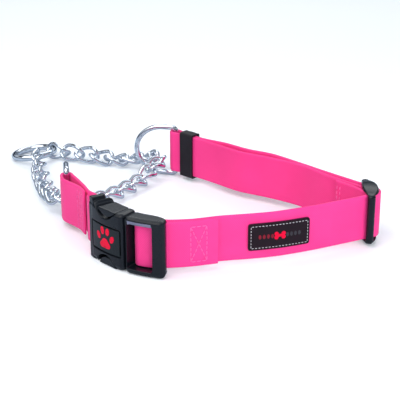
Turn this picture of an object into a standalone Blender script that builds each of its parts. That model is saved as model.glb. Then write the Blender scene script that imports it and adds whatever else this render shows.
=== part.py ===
"""A martingale dog collar: a 25 mm webbing collar with a side-release buckle and a
chain control loop, standing on the edge of its webbing. Units are metres, +Z is up.

The webbing stands on its edge, so most of the collar is drawn in plan: a point is
(x, y) in metres, and a direction is an angle from +X. The buckle has its own frame,
in which u runs along the buckle from the female end, w runs through its thickness
from the outer face, and z is up. The buckle is contoured to the neck: it is modelled
straight, and a bend modifier then curves it.
"""

import math

import bmesh
import bpy
from mathutils import Matrix, Vector

MM = 0.001

# Common sizes
CENTRE_Z = 16.0 * MM         # mid height of the webbing and of everything it carries
WEB_WIDTH = 25.0 * MM
WEB_THICK = 2.0 * MM
LAYER_PITCH = 2.4 * MM       # between the mid planes of two layers that lie together
GAP = 0.3 * MM               # running clearance
ORIGIN = Vector((-1.60, -3.42)) * MM   # plan centre of the collar's footprint

# Buckle
BUCKLE_MIDDLE = Vector((-30.6, -88.8)) * MM   # the outer face, half way along
BUCKLE_ANGLE = math.radians(-37.2)
BUCKLE_CURVE = 58.0 * MM     # radius of the outer face
MIDDLE_U = 23.6 * MM
BUCKLE_HEIGHT = 32.0 * MM
BUCKLE_THICK = 12.0 * MM
MALE_THICK = 10.0 * MM
FEMALE_LENGTH = 26.6 * MM
MALE_START = 27.0 * MM
MALE_END = 49.3 * MM
WINDOW = (28.2 * MM, 42.4 * MM)     # the opening in the male half, along u
RAIL = 3.1 * MM              # height of the rails above and below the webbing
FEMALE_BAR = Vector((3.2, 7.7)) * MM
MALE_BAR = Vector((33.0, 8.0)) * MM
BAR_RADIUS = 1.6 * MM
MOUTH_START = 9.4 * MM       # the deep end of the cavity that takes the male half
PRONG_START = 10.4 * MM
TONGUE_START = 21.5 * MM
SCALLOP_CENTRE = Vector((13.4, 18.2)) * MM     # (u, height above the mid plane)
SCALLOP_RADIUS = 8.3 * MM
PAD_CENTRE = Vector((14.2, 18.2)) * MM
PAD_RADIUS = 6.7 * MM
CUT_SPACING = 3.0 * MM       # between the cuts that let a solid bend

# Webbing run, through the slider and back to the right D-ring
SHORT_END_X = 19.0 * MM      # where the sewn outer layer of the front loop ends
BACK_ANGLE = math.radians(137.3)
RIGHT_BAR = Vector((-4.6, 48.2)) * MM
KEEPER_START = 6.6 * MM      # from the right D-ring's bar, along the webbing
KEEPER_LENGTH = 9.6 * MM
KEEPER_WALL = 0.9 * MM
SLIDER_BAR = Vector((98.4, -49.2)) * MM
SLIDER_NEAR_BAR = Vector((98.9, -58.6)) * MM
SLIDER_FAR_BAR = Vector((98.4, -35.8)) * MM
SLIDER_BAR_RADIUS = 1.3 * MM
SLIDER_HEIGHT = 29.6 * MM
SLIDER_PLATE = 1.9 * MM
SWING_RADIUS = 110.2 * MM    # from the male bar to where the back webbing bends

# D-rings
D_WIRE = 3.2 * MM
D_HEIGHT = 32.0 * MM
D_REACH = 21.7 * MM          # from the bar's axis to the bow's axis
LEFT_BAR = Vector((-62.6, -25.0)) * MM
RIGHT_D_ANGLE = math.radians(168.0)
LEFT_D_ANGLE = math.radians(97.7)

# Chain and leash ring
PITCH = 10.8 * MM
LINK_WIRE = 2.4 * MM
LINK_HALF_LENGTH = 7.3 * MM
LINK_HALF_WIDTH = 4.4 * MM   # both to the wire's centreline
LINK_TWIST = math.radians(48.0)
LINK_STEPS = 22
CHAIN_Z = 4.3 * MM           # links lying on the table
CROSSING_Z = 8.8 * MM        # links passing over the lower arm of a D-ring
CROSSING_REACH = 11.0 * MM   # from a D-ring's bar to the chain passing through it
RIGHT_CORNER = math.radians(-71.0)   # direction of the link lying across the right D-ring
LEFT_CORNER = math.radians(166.4)
RIGHT_SHIFT = -3.3 * MM      # a corner link's middle, past the plane of its D-ring
LEFT_SHIFT = 1.4 * MM
CROSSING_FLAT = 5.0 * MM     # plan distance each side of a crossing that stays level
CROSSING_SLOPE = 24.0 * MM   # and over which it then comes down
RUN_A_LINKS, RUN_B_LINKS, RUN_C_LINKS = 7, 7, 8
RUN_A_BOW, RUN_B_BOW, RUN_C_BOW = -1.2 * MM, 4.6 * MM, 2.2 * MM   # to the left of each run
RING_RADIUS = 12.5 * MM
RING_WIRE = 4.0 * MM
RING_CENTRE = Vector((-94.8, 77.6)) * MM
RING_TILT = math.radians(9.0)
RING_HIGH_SIDE = math.radians(-32.0)
RUN_A_SIDE = math.radians(-5.0)
RUN_C_SIDE = math.radians(-74.0)
HOOK_Z = 6.0 * MM            # height of the ring's wire where a chain end holds it
HOOK_FLAT = 20.0 * MM        # plan distance from the ring over which the chain stays up
HOOK_SLOPE = 24.0 * MM
HOOK_REACH = PITCH / 2 - (LINK_HALF_LENGTH - LINK_WIRE / 2 - RING_WIRE / 2 - GAP)
END_LINK_ROLL = math.radians(108.0)
ROLLED_LINKS = 4

BLACK = (0.016, 0.018, 0.022, 1)
PINK = (0.90, 0.045, 0.29, 1)
STEEL = (0.78, 0.79, 0.81, 1)


def reset_scene():
    for obj in list(bpy.data.objects):
        bpy.data.objects.remove(obj, do_unlink=True)
    for name in ("martingale_collar", "cutters"):
        bpy.context.scene.collection.children.link(bpy.data.collections.new(name))


def material(name, colour, roughness, metallic=0.0):
    made = bpy.data.materials.new(name)
    made.use_nodes = True
    shader = made.node_tree.nodes["Principled BSDF"]
    shader.inputs["Base Color"].default_value = colour
    shader.inputs["Roughness"].default_value = roughness
    shader.inputs["Metallic"].default_value = metallic
    return made


def add_object(name, data, colour, roughness, metallic=0.0):
    obj = bpy.data.objects.new(name, data)
    bpy.data.collections["martingale_collar"].objects.link(obj)
    data.materials.clear()
    data.materials.append(material(name + "_finish", colour, roughness, metallic))
    return obj


def add_cutter(obj):
    """Moves a helper into the cutters, out of the render."""
    for collection in list(obj.users_collection):
        collection.objects.unlink(obj)
    bpy.data.collections["cutters"].objects.link(obj)
    obj.hide_render = True
    obj.display_type = "WIRE"
    return obj


def boolean(obj, other, operation):
    modifier = obj.modifiers.new(operation.lower() + "_" + other.name, "BOOLEAN")
    modifier.operation = operation
    modifier.object = other


def round_edges(obj, width, segments=2):
    """Rounds edges before any Boolean that follows in the stack."""
    bevel = obj.modifiers.new("rounded_edges", "BEVEL")
    bevel.width = width
    bevel.segments = segments
    bevel.limit_method = "ANGLE"
    bevel.angle_limit = math.radians(40)


def shade(obj, angle=40):
    obj.data.shade_smooth()
    obj.data.set_sharp_from_angle(angle=math.radians(angle))


def on_table(point):
    """A plan point in the collar's frame."""
    return Vector(point) - ORIGIN


def along(angle):
    return Vector((math.cos(angle), math.sin(angle)))


# ---------------------------------------------------------------- plan paths


def buckle_turn(u):
    """How far the curved buckle has turned, at u along it."""
    return (u - MIDDLE_U) / BUCKLE_CURVE


def buckle_point(u, w):
    """The plan point at (u, w) in the buckle's curved frame."""
    across = along(BUCKLE_ANGLE + math.pi / 2)
    outward = along(BUCKLE_ANGLE + buckle_turn(u) - math.pi / 2)
    return BUCKLE_MIDDLE + across * BUCKLE_CURVE + outward * (BUCKLE_CURVE - w)


def arc(centre, radius, start, end, steps):
    """Plan points on an arc, from angle start to angle end."""
    turn = (end - start) / steps
    return [centre + along(start + turn * i) * radius for i in range(steps + 1)]


def smooth_path(points, spacing=2.2 * MM):
    """A centripetal Catmull-Rom curve through the points, sampled evenly."""
    first = points[0] * 2 - points[1]
    last = points[-1] * 2 - points[-2]
    guide = [first] + list(points) + [last]
    found = []
    for before, start, end, after in zip(guide, guide[1:], guide[2:], guide[3:]):
        knots = [0.0]
        for a, b in ((before, start), (start, end), (end, after)):
            knots.append(knots[-1] + max(math.sqrt((b - a).length), 1e-6))
        k0, k1, k2, k3 = knots
        count = max(1, round((end - start).length / spacing))
        for i in range(count):
            k = k1 + (k2 - k1) * i / count
            a1 = (before * (k1 - k) + start * (k - k0)) / (k1 - k0)
            a2 = (start * (k2 - k) + end * (k - k1)) / (k2 - k1)
            a3 = (end * (k3 - k) + after * (k - k2)) / (k3 - k2)
            b1 = (a1 * (k2 - k) + a2 * (k - k0)) / (k2 - k0)
            b2 = (a2 * (k3 - k) + a3 * (k - k1)) / (k3 - k1)
            found.append((b1 * (k2 - k) + b2 * (k - k1)) / (k2 - k1))
    return found + [points[-1]]


def offset_path(points, distance):
    """The path moved sideways, to its left where distance is positive."""
    moved = []
    for i, point in enumerate(points):
        ahead = points[min(i + 1, len(points) - 1)] - points[max(i - 1, 0)]
        ahead.normalize()
        moved.append(point + Vector((-ahead.y, ahead.x)) * distance)
    return moved


def ribbon(name, path, bottom, top, thick, colour, roughness):
    """A strip standing on its edge along a plan path: an open sheet with Solidify."""
    shell = bmesh.new()
    rows = []
    for point in path:
        x, y = on_table(point)
        rows.append([shell.verts.new((x, y, z)) for z in (bottom, top)])
    for low, high in zip(rows, rows[1:]):
        shell.faces.new((low[0], high[0], high[1], low[1]))
    mesh = bpy.data.meshes.new(name)
    shell.to_mesh(mesh)
    shell.free()
    obj = add_object(name, mesh, colour, roughness)
    solidify = obj.modifiers.new("thickness", "SOLIDIFY")
    solidify.thickness = thick
    solidify.offset = 0
    solidify.use_even_offset = True
    shade(obj, 60)
    return obj


def webbing(name, path):
    low = CENTRE_Z - WEB_WIDTH / 2
    return ribbon(name, path, low, low + WEB_WIDTH, WEB_THICK, PINK, 0.45)


def loop_radius(bar_radius):
    """The mid plane of webbing that wraps a round bar."""
    return bar_radius + GAP + WEB_THICK / 2


def front_run():
    """Mid plane of the long layer, from behind the male half to the slider."""
    return [Vector(p) * MM for p in (
        (4.5, -88.4), (18.8, -84.2), (35.2, -81.2), (50.5, -77.2),
        (66.3, -71.0), (82.6, -63.2), (95.8, -56.6))]


def back_line(distance, layer):
    """A point of the straight back webbing, at a distance from the right D-ring's bar.
    layer is -1 for the inner layer and +1 for the outer one."""
    side = along(BACK_ANGLE - math.pi / 2) * (LAYER_PITCH / 2) * layer
    return RIGHT_BAR - along(BACK_ANGLE) * distance + side


def swing_point():
    """Where the back webbing bends as the buckle comes apart. It lies square to the
    buckle from the male bar, so the male half starts straight out of the female."""
    across = along(BUCKLE_ANGLE + buckle_turn(MALE_BAR.x) + math.pi / 2)
    return buckle_point(*MALE_BAR) + across * SWING_RADIUS


def front_webbing_path():
    """From the sewn outer end, round the male bar, along the front, round the slider
    and back to the bending place."""
    radius = loop_radius(BAR_RADIUS)
    inner = front_run()
    outer = offset_path(inner, -LAYER_PITCH)
    bar = buckle_point(*MALE_BAR)
    end = outer[1] + Vector((SHORT_END_X - outer[1].x, 0))
    start = [end, outer[0], buckle_point(46.5 * MM, 6.9 * MM), buckle_point(42.5 * MM, 6.1 * MM),
             buckle_point(38.0 * MM, 5.4 * MM)]
    toward = BUCKLE_ANGLE + buckle_turn(MALE_BAR.x) - math.pi / 2
    wrap = arc(bar, radius, toward, toward - math.pi, 10)
    leave = [buckle_point(38.0 * MM, 10.8 * MM), buckle_point(43.0 * MM, 10.5 * MM),
             buckle_point(48.0 * MM, 10.2 * MM)]
    turn = [Vector(p) * MM for p in ((102.9, -53.2), (104.4, -48.6), (102.2, -43.6), (96.6, -38.6))]
    back = [Vector(p) * MM for p in ((88.4, -30.6), (77.0, -19.0), (67.0, -8.4))]
    end_points = [back[-1], Vector((52.1, 6.8)) * MM, outer_cut()]
    return (smooth_path(start + [wrap[0]])[:-1] + wrap
            + smooth_path([wrap[-1]] + leave + inner)[1:-1]
            + smooth_path([inner[-1]] + turn + back)[:-1]
            + smooth_path(end_points))


def outer_cut():
    """The outer layer at the bending place."""
    return swing_point() + along(BACK_ANGLE - math.pi / 2) * 6.9 * MM


def inner_cut():
    """The inner layer at the bending place."""
    return swing_point() + along(BACK_ANGLE - math.pi / 2) * 0.7 * MM


def back_webbing_path():
    """From the bending place along the outer layer, round the right D-ring's bar and
    back along the inner layer."""
    radius = loop_radius(D_WIRE / 2)
    step_back = along(BACK_ANGLE) * GAP
    outer = [outer_cut() + step_back, Vector((25.6, 25.8)) * MM]
    outer += [back_line(distance * MM, 1) for distance in (22, 17, 12, 9, 6.4)]
    wrap = arc(RIGHT_BAR, radius, BACK_ANGLE - math.pi / 2 - 0.3, BACK_ANGLE + math.pi / 2 + 0.3, 10)
    inner = [back_line(distance * MM, -1) for distance in (6.4, 9, 12, 18, 24, 34)]
    inner.append(inner_cut() + step_back)
    return smooth_path(outer + [wrap[0]])[:-1] + wrap + smooth_path([wrap[-1]] + inner)[1:]


def inner_end_path():
    """From the bending place along the inner layer, round the slider's middle bar and
    back on itself to the sewn end."""
    radius = loop_radius(SLIDER_BAR_RADIUS)
    run = [inner_cut(), Vector((48.3, 2.7)) * MM, Vector((66.9, -11.4)) * MM, Vector((78.4, -25.2)) * MM,
           Vector((88.6, -35.9)) * MM]
    toward = BACK_ANGLE - math.pi / 2
    wrap = arc(SLIDER_BAR, radius, toward + 0.1, toward - math.pi - 0.1, 9)
    tail = [Vector((91.6, -43.6)) * MM, Vector((87.4, -38.6)) * MM, Vector((83.2, -34.0)) * MM]
    return smooth_path(run + [wrap[0]])[:-1] + wrap + smooth_path([wrap[-1]] + tail)[1:]


def short_webbing_path():
    """The short doubled webbing, from its sewn end round the left D-ring's bar and
    round the female half's bar. Its two ends meet inside the sewn part."""
    ring = loop_radius(D_WIRE / 2)
    bar = loop_radius(BAR_RADIUS)
    around_ring = arc(LEFT_BAR, ring, math.radians(190), math.radians(-5), 10)
    toward = BUCKLE_ANGLE + buckle_turn(FEMALE_BAR.x) + math.pi / 2
    around_bar = arc(buckle_point(*FEMALE_BAR), bar, toward, toward - math.pi, 10)
    near = [Vector(p) * MM for p in (
        (-51.2, -51.4), (-53.9, -44.0), (-58.6, -38.0), (-64.0, -31.8))]
    far = [Vector(p) * MM for p in (
        (-56.6, -31.0), (-53.6, -37.4), (-51.0, -43.2), (-48.4, -49.8), (-44.6, -54.2))]
    close = [buckle_point(-3.0 * MM, 4.8 * MM), Vector((-48.6, -56.4)) * MM]
    return (smooth_path(near + [around_ring[0]])[:-1] + around_ring
            + smooth_path([around_ring[-1]] + far + [around_bar[0]])[1:-1] + around_bar
            + smooth_path([around_bar[-1]] + close)[1:])


# ---------------------------------------------------------------- buckle solids


def buckle_matrix():
    """Turns the straight buckle's (u from its middle, w, height above the mid plane) into
    the collar's frame."""
    x, y = on_table(BUCKLE_MIDDLE)
    place = Matrix.Translation((x, y, CENTRE_Z))
    return place @ Matrix.Rotation(BUCKLE_ANGLE, 4, "Z")


def curve_buckle(obj):
    """Bends a finished straight buckle solid to the contour."""
    bpy.context.view_layer.update()
    solid = obj.evaluated_get(bpy.context.evaluated_depsgraph_get())
    places = [vert.co.x for vert in solid.data.vertices]
    bend = obj.modifiers.new("contour", "SIMPLE_DEFORM")
    bend.deform_method = "BEND"
    bend.deform_axis = "Z"
    bend.angle = (max(places) - min(places)) / BUCKLE_CURVE


def block(name, u, w, z, rounding=0.0, turn=None):
    """A mesh box over ranges u, w and z of a local frame, by default the buckle's. A
    buckle box has cuts across it, so that it can bend."""
    form = bmesh.new()
    bmesh.ops.create_cube(form, size=1.0)
    start = 0 if turn else MIDDLE_U
    low = Vector((u[0] - start, w[0], z[0]))
    high = Vector((u[1] - start, w[1], z[1]))
    for vert in form.verts:
        share = vert.co + Vector((0.5, 0.5, 0.5))
        vert.co = Vector(lo + (hi - lo) * s for lo, hi, s in zip(low, high, share))
    cuts = 0 if turn else int((high.x - low.x) / CUT_SPACING)
    for i in range(cuts):
        place = low.x + (high.x - low.x) * (i + 1) / (cuts + 1)
        bmesh.ops.bisect_plane(
            form, geom=form.verts[:] + form.edges[:] + form.faces[:],
            plane_co=(place, 0, 0), plane_no=(1, 0, 0))
    mesh = bpy.data.meshes.new(name)
    form.to_mesh(mesh)
    form.free()
    obj = bpy.data.objects.new(name, mesh)
    obj.matrix_world = turn or buckle_matrix()
    bpy.data.collections["martingale_collar"].objects.link(obj)
    if rounding:
        round_edges(obj, rounding)
    return obj


def rod(name, centre, radius, axis, reach, sides=16, turn=None):
    """A cylinder along a local axis, 'w' or 'z', of the buckle's or another frame."""
    form = bmesh.new()
    bmesh.ops.create_cone(
        form, cap_ends=True, segments=sides, radius1=radius, radius2=radius, depth=reach)
    if axis == "w":
        bmesh.ops.rotate(form, matrix=Matrix.Rotation(math.pi / 2, 3, "X"), verts=form.verts)
    start = 0 if turn else MIDDLE_U
    bmesh.ops.translate(form, vec=(centre[0] - start, centre[1], centre[2]), verts=form.verts)
    mesh = bpy.data.meshes.new(name)
    form.to_mesh(mesh)
    form.free()
    obj = bpy.data.objects.new(name, mesh)
    obj.matrix_world = turn or buckle_matrix()
    bpy.data.collections["martingale_collar"].objects.link(obj)
    return obj


def finish_solid(obj, colour, roughness):
    obj.data.materials.append(material(obj.name + "_finish", colour, roughness))
    shade(obj, 35)
    return obj


def female_shell():
    half = BUCKLE_HEIGHT / 2
    inside = half - RAIL
    shell = block("buckle_female_shell", (0, FEMALE_LENGTH), (0, BUCKLE_THICK), (-half, half), 2.5 * MM)
    cuts = [
        block("female_mouth", (MOUTH_START, 30 * MM), (3.2 * MM, 8.8 * MM), (-inside, inside)),
        block("female_webbing_slot", (-1 * MM, 7.8 * MM), (3.4 * MM, 14 * MM), (-inside, inside)),
        block("female_panel_recess", (2.1 * MM, 24.3 * MM), (-1 * MM, 0.9 * MM),
              (-8.4 * MM, 6.0 * MM)),
    ]
    for side in (1, -1):
        centre = (SCALLOP_CENTRE.x, BUCKLE_THICK / 2, SCALLOP_CENTRE.y * side)
        cuts.append(rod("female_scallop", centre, SCALLOP_RADIUS, "w", 20 * MM, 36))
    for cutter in cuts:
        boolean(shell, add_cutter(cutter), "DIFFERENCE")
    bar = rod("female_bar", (FEMALE_BAR.x, FEMALE_BAR.y, 0), BAR_RADIUS, "z", 2 * half - 2 * MM)
    boolean(shell, add_cutter(bar), "UNION")
    curve_buckle(shell)
    return finish_solid(shell, BLACK, 0.4)


def badge_panel():
    """The inlay in the recess on the outer face."""
    panel = block("buckle_badge_panel", (2.4 * MM, 24.0 * MM), (0.25 * MM, 0.6 * MM),
                  (-8.1 * MM, 5.7 * MM))
    curve_buckle(panel)
    return finish_solid(panel, BLACK, 0.5)


def male_frame():
    """The window frame with its two webbing bars and the middle guide tongue."""
    half = BUCKLE_HEIGHT / 2
    inside = half - RAIL
    frame = block("buckle_male_frame", (MALE_START, MALE_END), (0, MALE_THICK), (-half, half), 2.2 * MM)
    lean = buckle_matrix() @ Matrix.Translation((14.6 * MM, MALE_THICK + 0.1 * MM, 0))
    taper = block("male_taper", (0, 30 * MM), (0, 20 * MM), (-30 * MM, 30 * MM), 0.0,
                  lean @ Matrix.Rotation(math.radians(-22), 4, "Z"))
    window = block("male_window", WINDOW, (-1 * MM, 13 * MM), (-inside, inside))
    behind = block("male_behind_outer_bar", (41 * MM, 56 * MM), (4.6 * MM, 13 * MM), (-inside, inside))
    bar = rod("male_bar", (MALE_BAR.x, MALE_BAR.y, 0), BAR_RADIUS, "z", 2 * half - 2 * MM)
    tongue = block("male_tongue", (TONGUE_START, WINDOW[0] - 0.4 * MM),
                   (4.6 * MM, 7.4 * MM), (-3.6 * MM, 3.6 * MM), 0.6 * MM)
    boolean(frame, add_cutter(taper), "DIFFERENCE")
    boolean(frame, add_cutter(window), "DIFFERENCE")
    boolean(frame, add_cutter(behind), "DIFFERENCE")
    boolean(frame, add_cutter(bar), "UNION")
    boolean(frame, add_cutter(tongue), "UNION")
    curve_buckle(frame)
    return finish_solid(frame, BLACK, 0.4)


def prong(name, side):
    """A springy side prong and its press pad. side is +1 above and -1 below."""
    low, high = sorted((8.4 * MM * side, 11.4 * MM * side))
    arm = block(name, (PRONG_START, MALE_START - GAP), (4.4 * MM, 7.6 * MM), (low, high), 0.5 * MM)
    pad_low, pad_high = sorted((10.6 * MM * side, 15.9 * MM * side))
    pad = rod(name + "_pad", (PAD_CENTRE.x, 6 * MM, PAD_CENTRE.y * side), PAD_RADIUS,
              "w", 10 * MM, 32)
    trim = block(name + "_pad_trim", (2 * MM, 24 * MM), (0, 12 * MM), (pad_low, pad_high))
    neck_low, neck_high = sorted((10.4 * MM * side, 13.9 * MM * side))
    neck = block(name + "_neck", (12.0 * MM, 15.4 * MM), (4.4 * MM, 7.6 * MM), (neck_low, neck_high))
    boolean(pad, trim, "INTERSECT")
    for helper in (trim, neck, pad):
        add_cutter(helper)
    boolean(arm, neck, "UNION")
    boolean(arm, pad, "UNION")
    curve_buckle(arm)
    return finish_solid(arm, BLACK, 0.4)


# ---------------------------------------------------------------- slider, keeper, label


def slider():
    """A curved tri-glide: three upright bars between two end plates. The webbing runs
    inside the two outer bars and outside the middle one."""
    half = SLIDER_HEIGHT / 2
    centre = on_table(SLIDER_BAR)
    frame = Matrix.Translation((centre.x, centre.y, CENTRE_Z))
    near, far = SLIDER_NEAR_BAR - SLIDER_BAR, SLIDER_FAR_BAR - SLIDER_BAR
    width = 1.9 * MM
    bulge = [near, Vector((5.0, -4.0)) * MM, Vector((5.6, 2.0)) * MM, Vector((3.4, 8.0)) * MM, far]
    hollow = [near, Vector((-1.2, -2.4)) * MM, Vector((-1.4, 3.4)) * MM, far]
    rim = (offset_path(smooth_path(bulge, 2.5 * MM), -width)
           + offset_path(smooth_path(hollow, 2.5 * MM), width)[::-1])
    plates = []
    for side in (-1, 1):
        z0, z1 = sorted((half * side, (half - SLIDER_PLATE) * side))
        form = bmesh.new()
        lower = [form.verts.new((p.x, p.y, z0)) for p in rim]
        face = form.faces.new(lower)
        lifted = bmesh.ops.extrude_face_region(form, geom=[face])["geom"]
        bmesh.ops.translate(
            form, vec=(0, 0, z1 - z0), verts=[g for g in lifted if isinstance(g, bmesh.types.BMVert)])
        bmesh.ops.recalc_face_normals(form, faces=form.faces)
        mesh = bpy.data.meshes.new("slider_plate")
        form.to_mesh(mesh)
        form.free()
        plate = bpy.data.objects.new("slider_plate", mesh)
        plate.matrix_world = frame
        bpy.data.collections["martingale_collar"].objects.link(plate)
        plates.append(plate)
    body = plates[0]
    body.name = "triglide_slider"
    boolean(body, add_cutter(plates[1]), "UNION")
    bars = [(near, 1.6 * MM), (Vector((0, 0)), SLIDER_BAR_RADIUS), (far, 1.6 * MM)]
    for place, radius in bars:
        bar = rod("slider_bar", (place.x, place.y, 0), radius, "z", 2 * half - 1.2 * MM, 12, frame)
        boolean(body, add_cutter(bar), "UNION")
    return finish_solid(body, BLACK, 0.4)


def keeper():
    """A snug band round both layers beside the right D-ring."""
    middle = on_table(back_line(KEEPER_START + KEEPER_LENGTH / 2, 0))
    turn = Matrix.Translation((middle.x, middle.y, CENTRE_Z)) @ Matrix.Rotation(BACK_ANGLE, 4, "Z")
    half_thick = LAYER_PITCH / 2 + WEB_THICK / 2 + GAP
    half_high = WEB_WIDTH / 2 + GAP
    length = KEEPER_LENGTH / 2
    band = block("keeper_band", (-length, length), (-half_thick - KEEPER_WALL, half_thick + KEEPER_WALL),
                 (-half_high - KEEPER_WALL, half_high + KEEPER_WALL), 0.5 * MM, turn)
    hole = block("keeper_hole", (-2 * length, 2 * length), (-half_thick, half_thick),
                 (-half_high, half_high), 0.0, turn)
    boolean(band, add_cutter(hole), "DIFFERENCE")
    return finish_solid(band, BLACK, 0.7)


def label():
    """The leather patch sewn on the outside of the front run."""
    run = [p for p in smooth_path(front_run(), 1.4 * MM) if 33.8 * MM < p.x < 66.6 * MM]
    path = offset_path(run, -(WEB_THICK / 2 + GAP + 0.6 * MM))
    return ribbon("label_patch", path, CENTRE_Z - 7.2 * MM, CENTRE_Z + 7.2 * MM, 1.2 * MM, BLACK, 0.6)


# ---------------------------------------------------------------- rings and chain


def closed_wire(name, points, radius, sides=2):
    """A closed loop of round wire. Its mesh is made from a curve's bevel."""
    curve = bpy.data.curves.new(name, "CURVE")
    curve.dimensions = "3D"
    curve.bevel_depth = radius
    curve.bevel_resolution = sides
    spline = curve.splines.new("POLY")
    spline.points.add(len(points) - 1)
    for spot, point in zip(spline.points, points):
        spot.co = (*point, 1)
    spline.use_cyclic_u = True
    return curve


def d_ring(name, bar, angle):
    """A D-ring standing upright, with its straight bar inside the webbing's fold."""
    top = D_HEIGHT / 2 - D_WIRE / 2
    corner = 2.4 * MM
    straight = 8.0 * MM
    points = []
    for i in range(5):
        turn = math.pi + math.pi / 2 * i / 4
        points.append((corner + corner * math.cos(turn), 0, -top + corner + corner * math.sin(turn)))
    for i in range(19):
        turn = -math.pi / 2 + math.pi * i / 18
        points.append((straight + (D_REACH - straight) * math.cos(turn), 0, top * math.sin(turn)))
    for i in range(5):
        turn = math.pi / 2 + math.pi / 2 * i / 4
        points.append((corner + corner * math.cos(turn), 0, top - corner + corner * math.sin(turn)))
    curve = closed_wire(name, points, D_WIRE / 2)
    ring = add_object(name, curve, STEEL, 0.12, 1.0)
    place = on_table(bar)
    ring.location = (place.x, place.y, CENTRE_Z)
    ring.rotation_euler = (0, 0, angle)
    return ring


def ring_frame():
    """The leash ring's place and lean: its far side rests on the table."""
    centre = on_table(RING_CENTRE)
    lean_axis = along(RING_HIGH_SIDE + math.pi / 2)
    lift = RING_WIRE / 2 + RING_RADIUS * math.sin(RING_TILT)
    turn = Matrix.Rotation(-RING_TILT, 4, (lean_axis.x, lean_axis.y, 0))
    return Matrix.Translation((centre.x, centre.y, lift)) @ turn


def leash_ring():
    points = [(*(along(2 * math.pi * i / 32) * RING_RADIUS), 0) for i in range(32)]
    ring = add_object("leash_ring", closed_wire("leash_ring", points, RING_WIRE / 2), STEEL, 0.12, 1.0)
    ring.matrix_world = ring_frame()
    return ring


def link_points():
    """A link's centreline: an oval twisted about its long axis, so that every link of
    the chain can lie the same way up."""
    flat = LINK_HALF_LENGTH - LINK_HALF_WIDTH
    bend = math.pi * LINK_HALF_WIDTH
    total = 4 * flat + 2 * bend
    points = []
    for i in range(LINK_STEPS):
        s = total * (i + 0.5) / LINK_STEPS
        side = 1 if s < total / 2 else -1
        s = s % (total / 2)
        if s < 2 * flat:
            x, y = s - flat, LINK_HALF_WIDTH
        else:
            turn = (s - 2 * flat) / LINK_HALF_WIDTH
            x, y = flat + LINK_HALF_WIDTH * math.sin(turn), LINK_HALF_WIDTH * math.cos(turn)
        x, y = x * side, y * side
        twist = LINK_TWIST * x / LINK_HALF_LENGTH
        points.append((x, y * math.cos(twist), y * math.sin(twist)))
    return points


def corner_link(bar, angle, direction, shift):
    """The link that lies across a D-ring, as its two ends in plan."""
    middle = bar + along(angle) * CROSSING_REACH + along(direction) * shift
    half = along(direction) * (PITCH / 2)
    return middle - half, middle + half


def chain_corners():
    """The chain's plan path: each run's two ends, its link count and its bow."""
    right_in, right_out = corner_link(RIGHT_BAR, RIGHT_D_ANGLE, RIGHT_CORNER, RIGHT_SHIFT)
    left_in, left_out = corner_link(LEFT_BAR, LEFT_D_ANGLE, LEFT_CORNER, LEFT_SHIFT)
    hook = HOOK_REACH - RING_RADIUS
    start = RING_CENTRE - along(RUN_A_SIDE) * hook
    end = RING_CENTRE - along(RUN_C_SIDE) * hook
    return [
        (start, right_in, RUN_A_LINKS, RUN_A_BOW), (right_in, right_out, 1, 0),
        (right_out, left_in, RUN_B_LINKS, RUN_B_BOW), (left_in, left_out, 1, 0),
        (left_out, end, RUN_C_LINKS, RUN_C_BOW)]


def chain_height(place):
    """Links rise over the lower arm of each D-ring, and to the leash ring's wire."""
    height = CHAIN_Z
    for bar, angle in ((RIGHT_BAR, RIGHT_D_ANGLE), (LEFT_BAR, LEFT_D_ANGLE)):
        crossing = bar + along(angle) * CROSSING_REACH
        away = (place - crossing).length - CROSSING_FLAT
        near = max(0.0, min(1.0, away / CROSSING_SLOPE))
        height += (CROSSING_Z - CHAIN_Z) * (1 + math.cos(math.pi * near)) / 2
    away = (place - RING_CENTRE).length - RING_RADIUS - HOOK_FLAT
    near = max(0.0, min(1.0, away / HOOK_SLOPE))
    return height + (HOOK_Z - CHAIN_Z) * (1 + math.cos(math.pi * near)) / 2


def chain_joints():
    """Where neighbouring links meet. A slack run has its links closer than the pitch."""
    joints = []
    for start, end, count, bow in chain_corners():
        side = (end - start).normalized().orthogonal()
        for i in range(count):
            share = i / count
            place = start + (end - start) * share + side * (bow * 4 * share * (1 - share))
            joints.append(Vector((*on_table(place), chain_height(place))))
    place = chain_corners()[-1][1]
    return joints + [Vector((*on_table(place), chain_height(place)))]


def link_frames():
    """A matrix for each link: its x axis along the chain and its roll about it."""
    joints = chain_joints()
    last = len(joints) - 2
    frames = []
    for i, (start, end) in enumerate(zip(joints, joints[1:])):
        x = (end - start).normalized()
        y = Vector((0, 0, 1)).cross(x).normalized()
        roll = END_LINK_ROLL * max(0.0, 1 - i / ROLLED_LINKS)
        roll -= END_LINK_ROLL * max(0.0, 1 - (last - i) / ROLLED_LINKS)
        turn = Matrix((x, y, x.cross(y))).transposed().to_4x4()
        middle = Matrix.Translation((start + end) / 2)
        frames.append(middle @ turn @ Matrix.Rotation(roll, 4, "X"))
    return frames


def chain():
    points = link_points()
    for i, frame in enumerate(link_frames()):
        name = f"chain_link_{i + 1:02d}"
        link = add_object(name, closed_wire(name, points, LINK_WIRE / 2, 1), STEEL, 0.12, 1.0)
        link.matrix_world = frame


def build():
    reset_scene()
    female_shell()
    badge_panel()
    male_frame()
    prong("prong_upper", 1)
    prong("prong_lower", -1)
    webbing("webbing_front", front_webbing_path())
    webbing("webbing_back", back_webbing_path())
    webbing("webbing_inner_end", inner_end_path())
    webbing("webbing_short", short_webbing_path())
    label()
    slider()
    keeper()
    d_ring("d_ring_right", RIGHT_BAR, RIGHT_D_ANGLE)
    d_ring("d_ring_left", LEFT_BAR, LEFT_D_ANGLE)
    leash_ring()
    chain()


build()
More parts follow.
